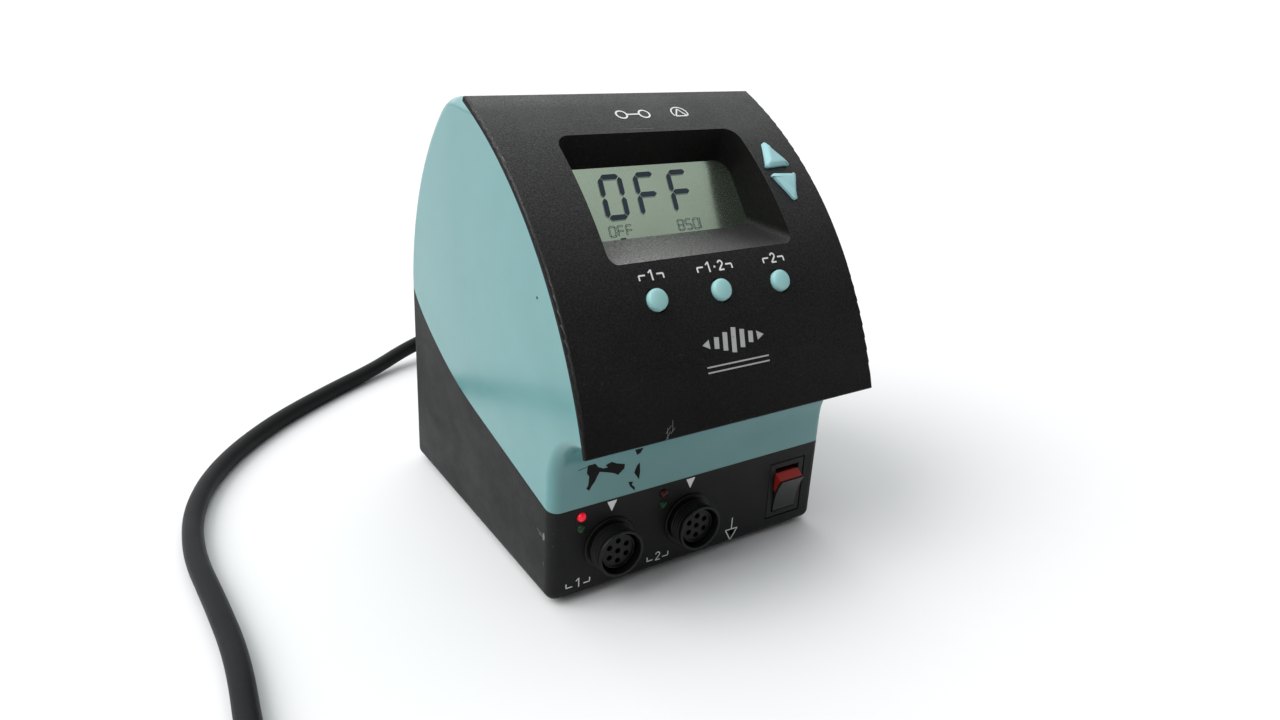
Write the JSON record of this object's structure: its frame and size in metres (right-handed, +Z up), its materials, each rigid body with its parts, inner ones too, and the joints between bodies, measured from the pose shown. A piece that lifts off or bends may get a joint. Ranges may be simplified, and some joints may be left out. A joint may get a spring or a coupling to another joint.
{
  "type": "soldering station",
  "caption": "Bench power unit for soldering irons: curved hood with recessed display and push keys, round iron sockets, rocker switch and detachable mains lead.",
  "frame": {"origin": "on the bench, under the middle of the housing's bounding box, measured without the free mains lead", "axes": "+X to the user's right, -Y towards the user, +Z up"},
  "size_m": [0.2015, 0.4081, 0.1468],
  "materials": {
    "teal_housing": "fine-textured teal moulding",
    "dark_base": "fine-textured black moulding",
    "dark_panel": "fine-textured black moulding with white printing",
    "foot_rubber": "matt rubber",
    "screw_steel": "zinc-plated",
    "display_glass": "polished, with dark segments",
    "display_reflector": "greenish grey reflector",
    "black_component": "black moulding",
    "contact_rubber": "striped conductive rubber",
    "circuit_board": "green lacquered laminate",
    "key_plastic": "satin teal",
    "socket_metal": "dark plated, threaded",
    "socket_insert": "black moulding",
    "contact_metal": "gold-plated",
    "plated_metal": "nickel-plated",
    "red_lamp": "diffused red",
    "green_lamp": "diffused green",
    "red_rocker": "red with a dark face",
    "fuse_glass": "clear tube with metal ends",
    "transformer_steel": "varnished laminations",
    "copper_winding": "taped coil",
    "heat_sink_aluminium": "extruded",
    "capacitor_sleeve": "shrunk sleeve",
    "ribbon_plastic": "grey ribbon",
    "cord_plastic": "matt black sheath"
  },
  "bodies": {
    "housing": {"base_tub": "dark_base", "bonding_jack": "plated_metal", "case_screws": "screw_steel", "connector_strain_relief": "cord_plastic", "control_panel": "dark_panel", "display_board": "circuit_board", "display_board_screws": "screw_steel", "display_contact_strips": "contact_rubber", "display_frame": "black_component", "display_glass": "display_glass", "display_reflector": "display_reflector", "fuse_holder": "black_component", "fuse_link": "fuse_glass", "heat_sink": "heat_sink_aluminium", "key_switch_bodies": "black_component", "lamp_1_green": "green_lamp", "lamp_1_red": "red_lamp", "lamp_2_green": "green_lamp", "lamp_2_red": "red_lamp", "mains_connector": "cord_plastic", "mains_cord": "cord_plastic", "mains_cord_coil": "cord_plastic", "mains_cord_tail": "cord_plastic", "mains_inlet": "black_component", "mains_inlet_pins": "plated_metal", "plug_body": "cord_plastic", "plug_pins": "plated_metal", "plug_strain_relief": "cord_plastic", "power_board": "circuit_board", "power_switch_housing": "black_component", "power_switch_tabs": "plated_metal", "ribbon_cable": "ribbon_plastic", "rubber_foot_1": "foot_rubber", "rubber_foot_2": "foot_rubber", "rubber_foot_3": "foot_rubber", "rubber_foot_4": "foot_rubber", "smoothing_capacitors": "capacitor_sleeve", "socket_1_contacts": "contact_metal", "socket_1_insert": "socket_insert", "socket_1_nut": "plated_metal", "socket_1_shell": "socket_metal", "socket_2_contacts": "contact_metal", "socket_2_insert": "socket_insert", "socket_2_nut": "plated_metal", "socket_2_shell": "socket_metal", "socket_board": "circuit_board", "transformer_bracket": "transformer_steel", "transformer_core": "transformer_steel", "transformer_screws": "screw_steel", "transformer_winding": "copper_winding", "triacs": "black_component", "upper_cover": "teal_housing"},
    "channel_1_key": {"key_channel_1": "key_plastic"},
    "both_channels_key": {"key_both_channels": "key_plastic"},
    "channel_2_key": {"key_channel_2": "key_plastic"},
    "up_key": {"key_up": "key_plastic"},
    "down_key": {"key_down": "key_plastic"},
    "rocker": {"power_rocker": "red_rocker"},
    "fuse_carrier": {"fuse_cap": "black_component"}
  },
  "joints": [
    {"name": "channel_1_key_press", "type": "slide", "parent": "housing", "child": "channel_1_key", "axis": [0, 0.7826, -0.6225], "range_m": [0, 0.0008], "stiffness_N_per_m": 400, "springref_m": -0.0005},
    {"name": "both_channels_key_press", "type": "slide", "parent": "housing", "child": "both_channels_key", "axis": [0, 0.7826, -0.6225], "range_m": [0, 0.0008], "stiffness_N_per_m": 400, "springref_m": -0.0005},
    {"name": "channel_2_key_press", "type": "slide", "parent": "housing", "child": "channel_2_key", "axis": [0, 0.7826, -0.6225], "range_m": [0, 0.0008], "stiffness_N_per_m": 400, "springref_m": -0.0005},
    {"name": "up_key_press", "type": "slide", "parent": "housing", "child": "up_key", "axis": [0, 0.7826, -0.6225], "range_m": [0, 0.0008], "stiffness_N_per_m": 400, "springref_m": -0.0005},
    {"name": "down_key_press", "type": "slide", "parent": "housing", "child": "down_key", "axis": [0, 0.7826, -0.6225], "range_m": [0, 0.0008], "stiffness_N_per_m": 400, "springref_m": -0.0005},
    {"name": "power_rocker_tilt", "type": "hinge", "parent": "housing", "child": "rocker", "pos_m": [0.0394, -0.0444, 0.0179], "axis": [1, 0, 0], "range_deg": [-29, 0]},
    {"name": "fuse_cap_turn", "type": "hinge", "parent": "housing", "child": "fuse_carrier", "pos_m": [0.03, 0.067, 0.0575], "axis": [0, 1, 0], "range_deg": [0, 45]}
  ]
}
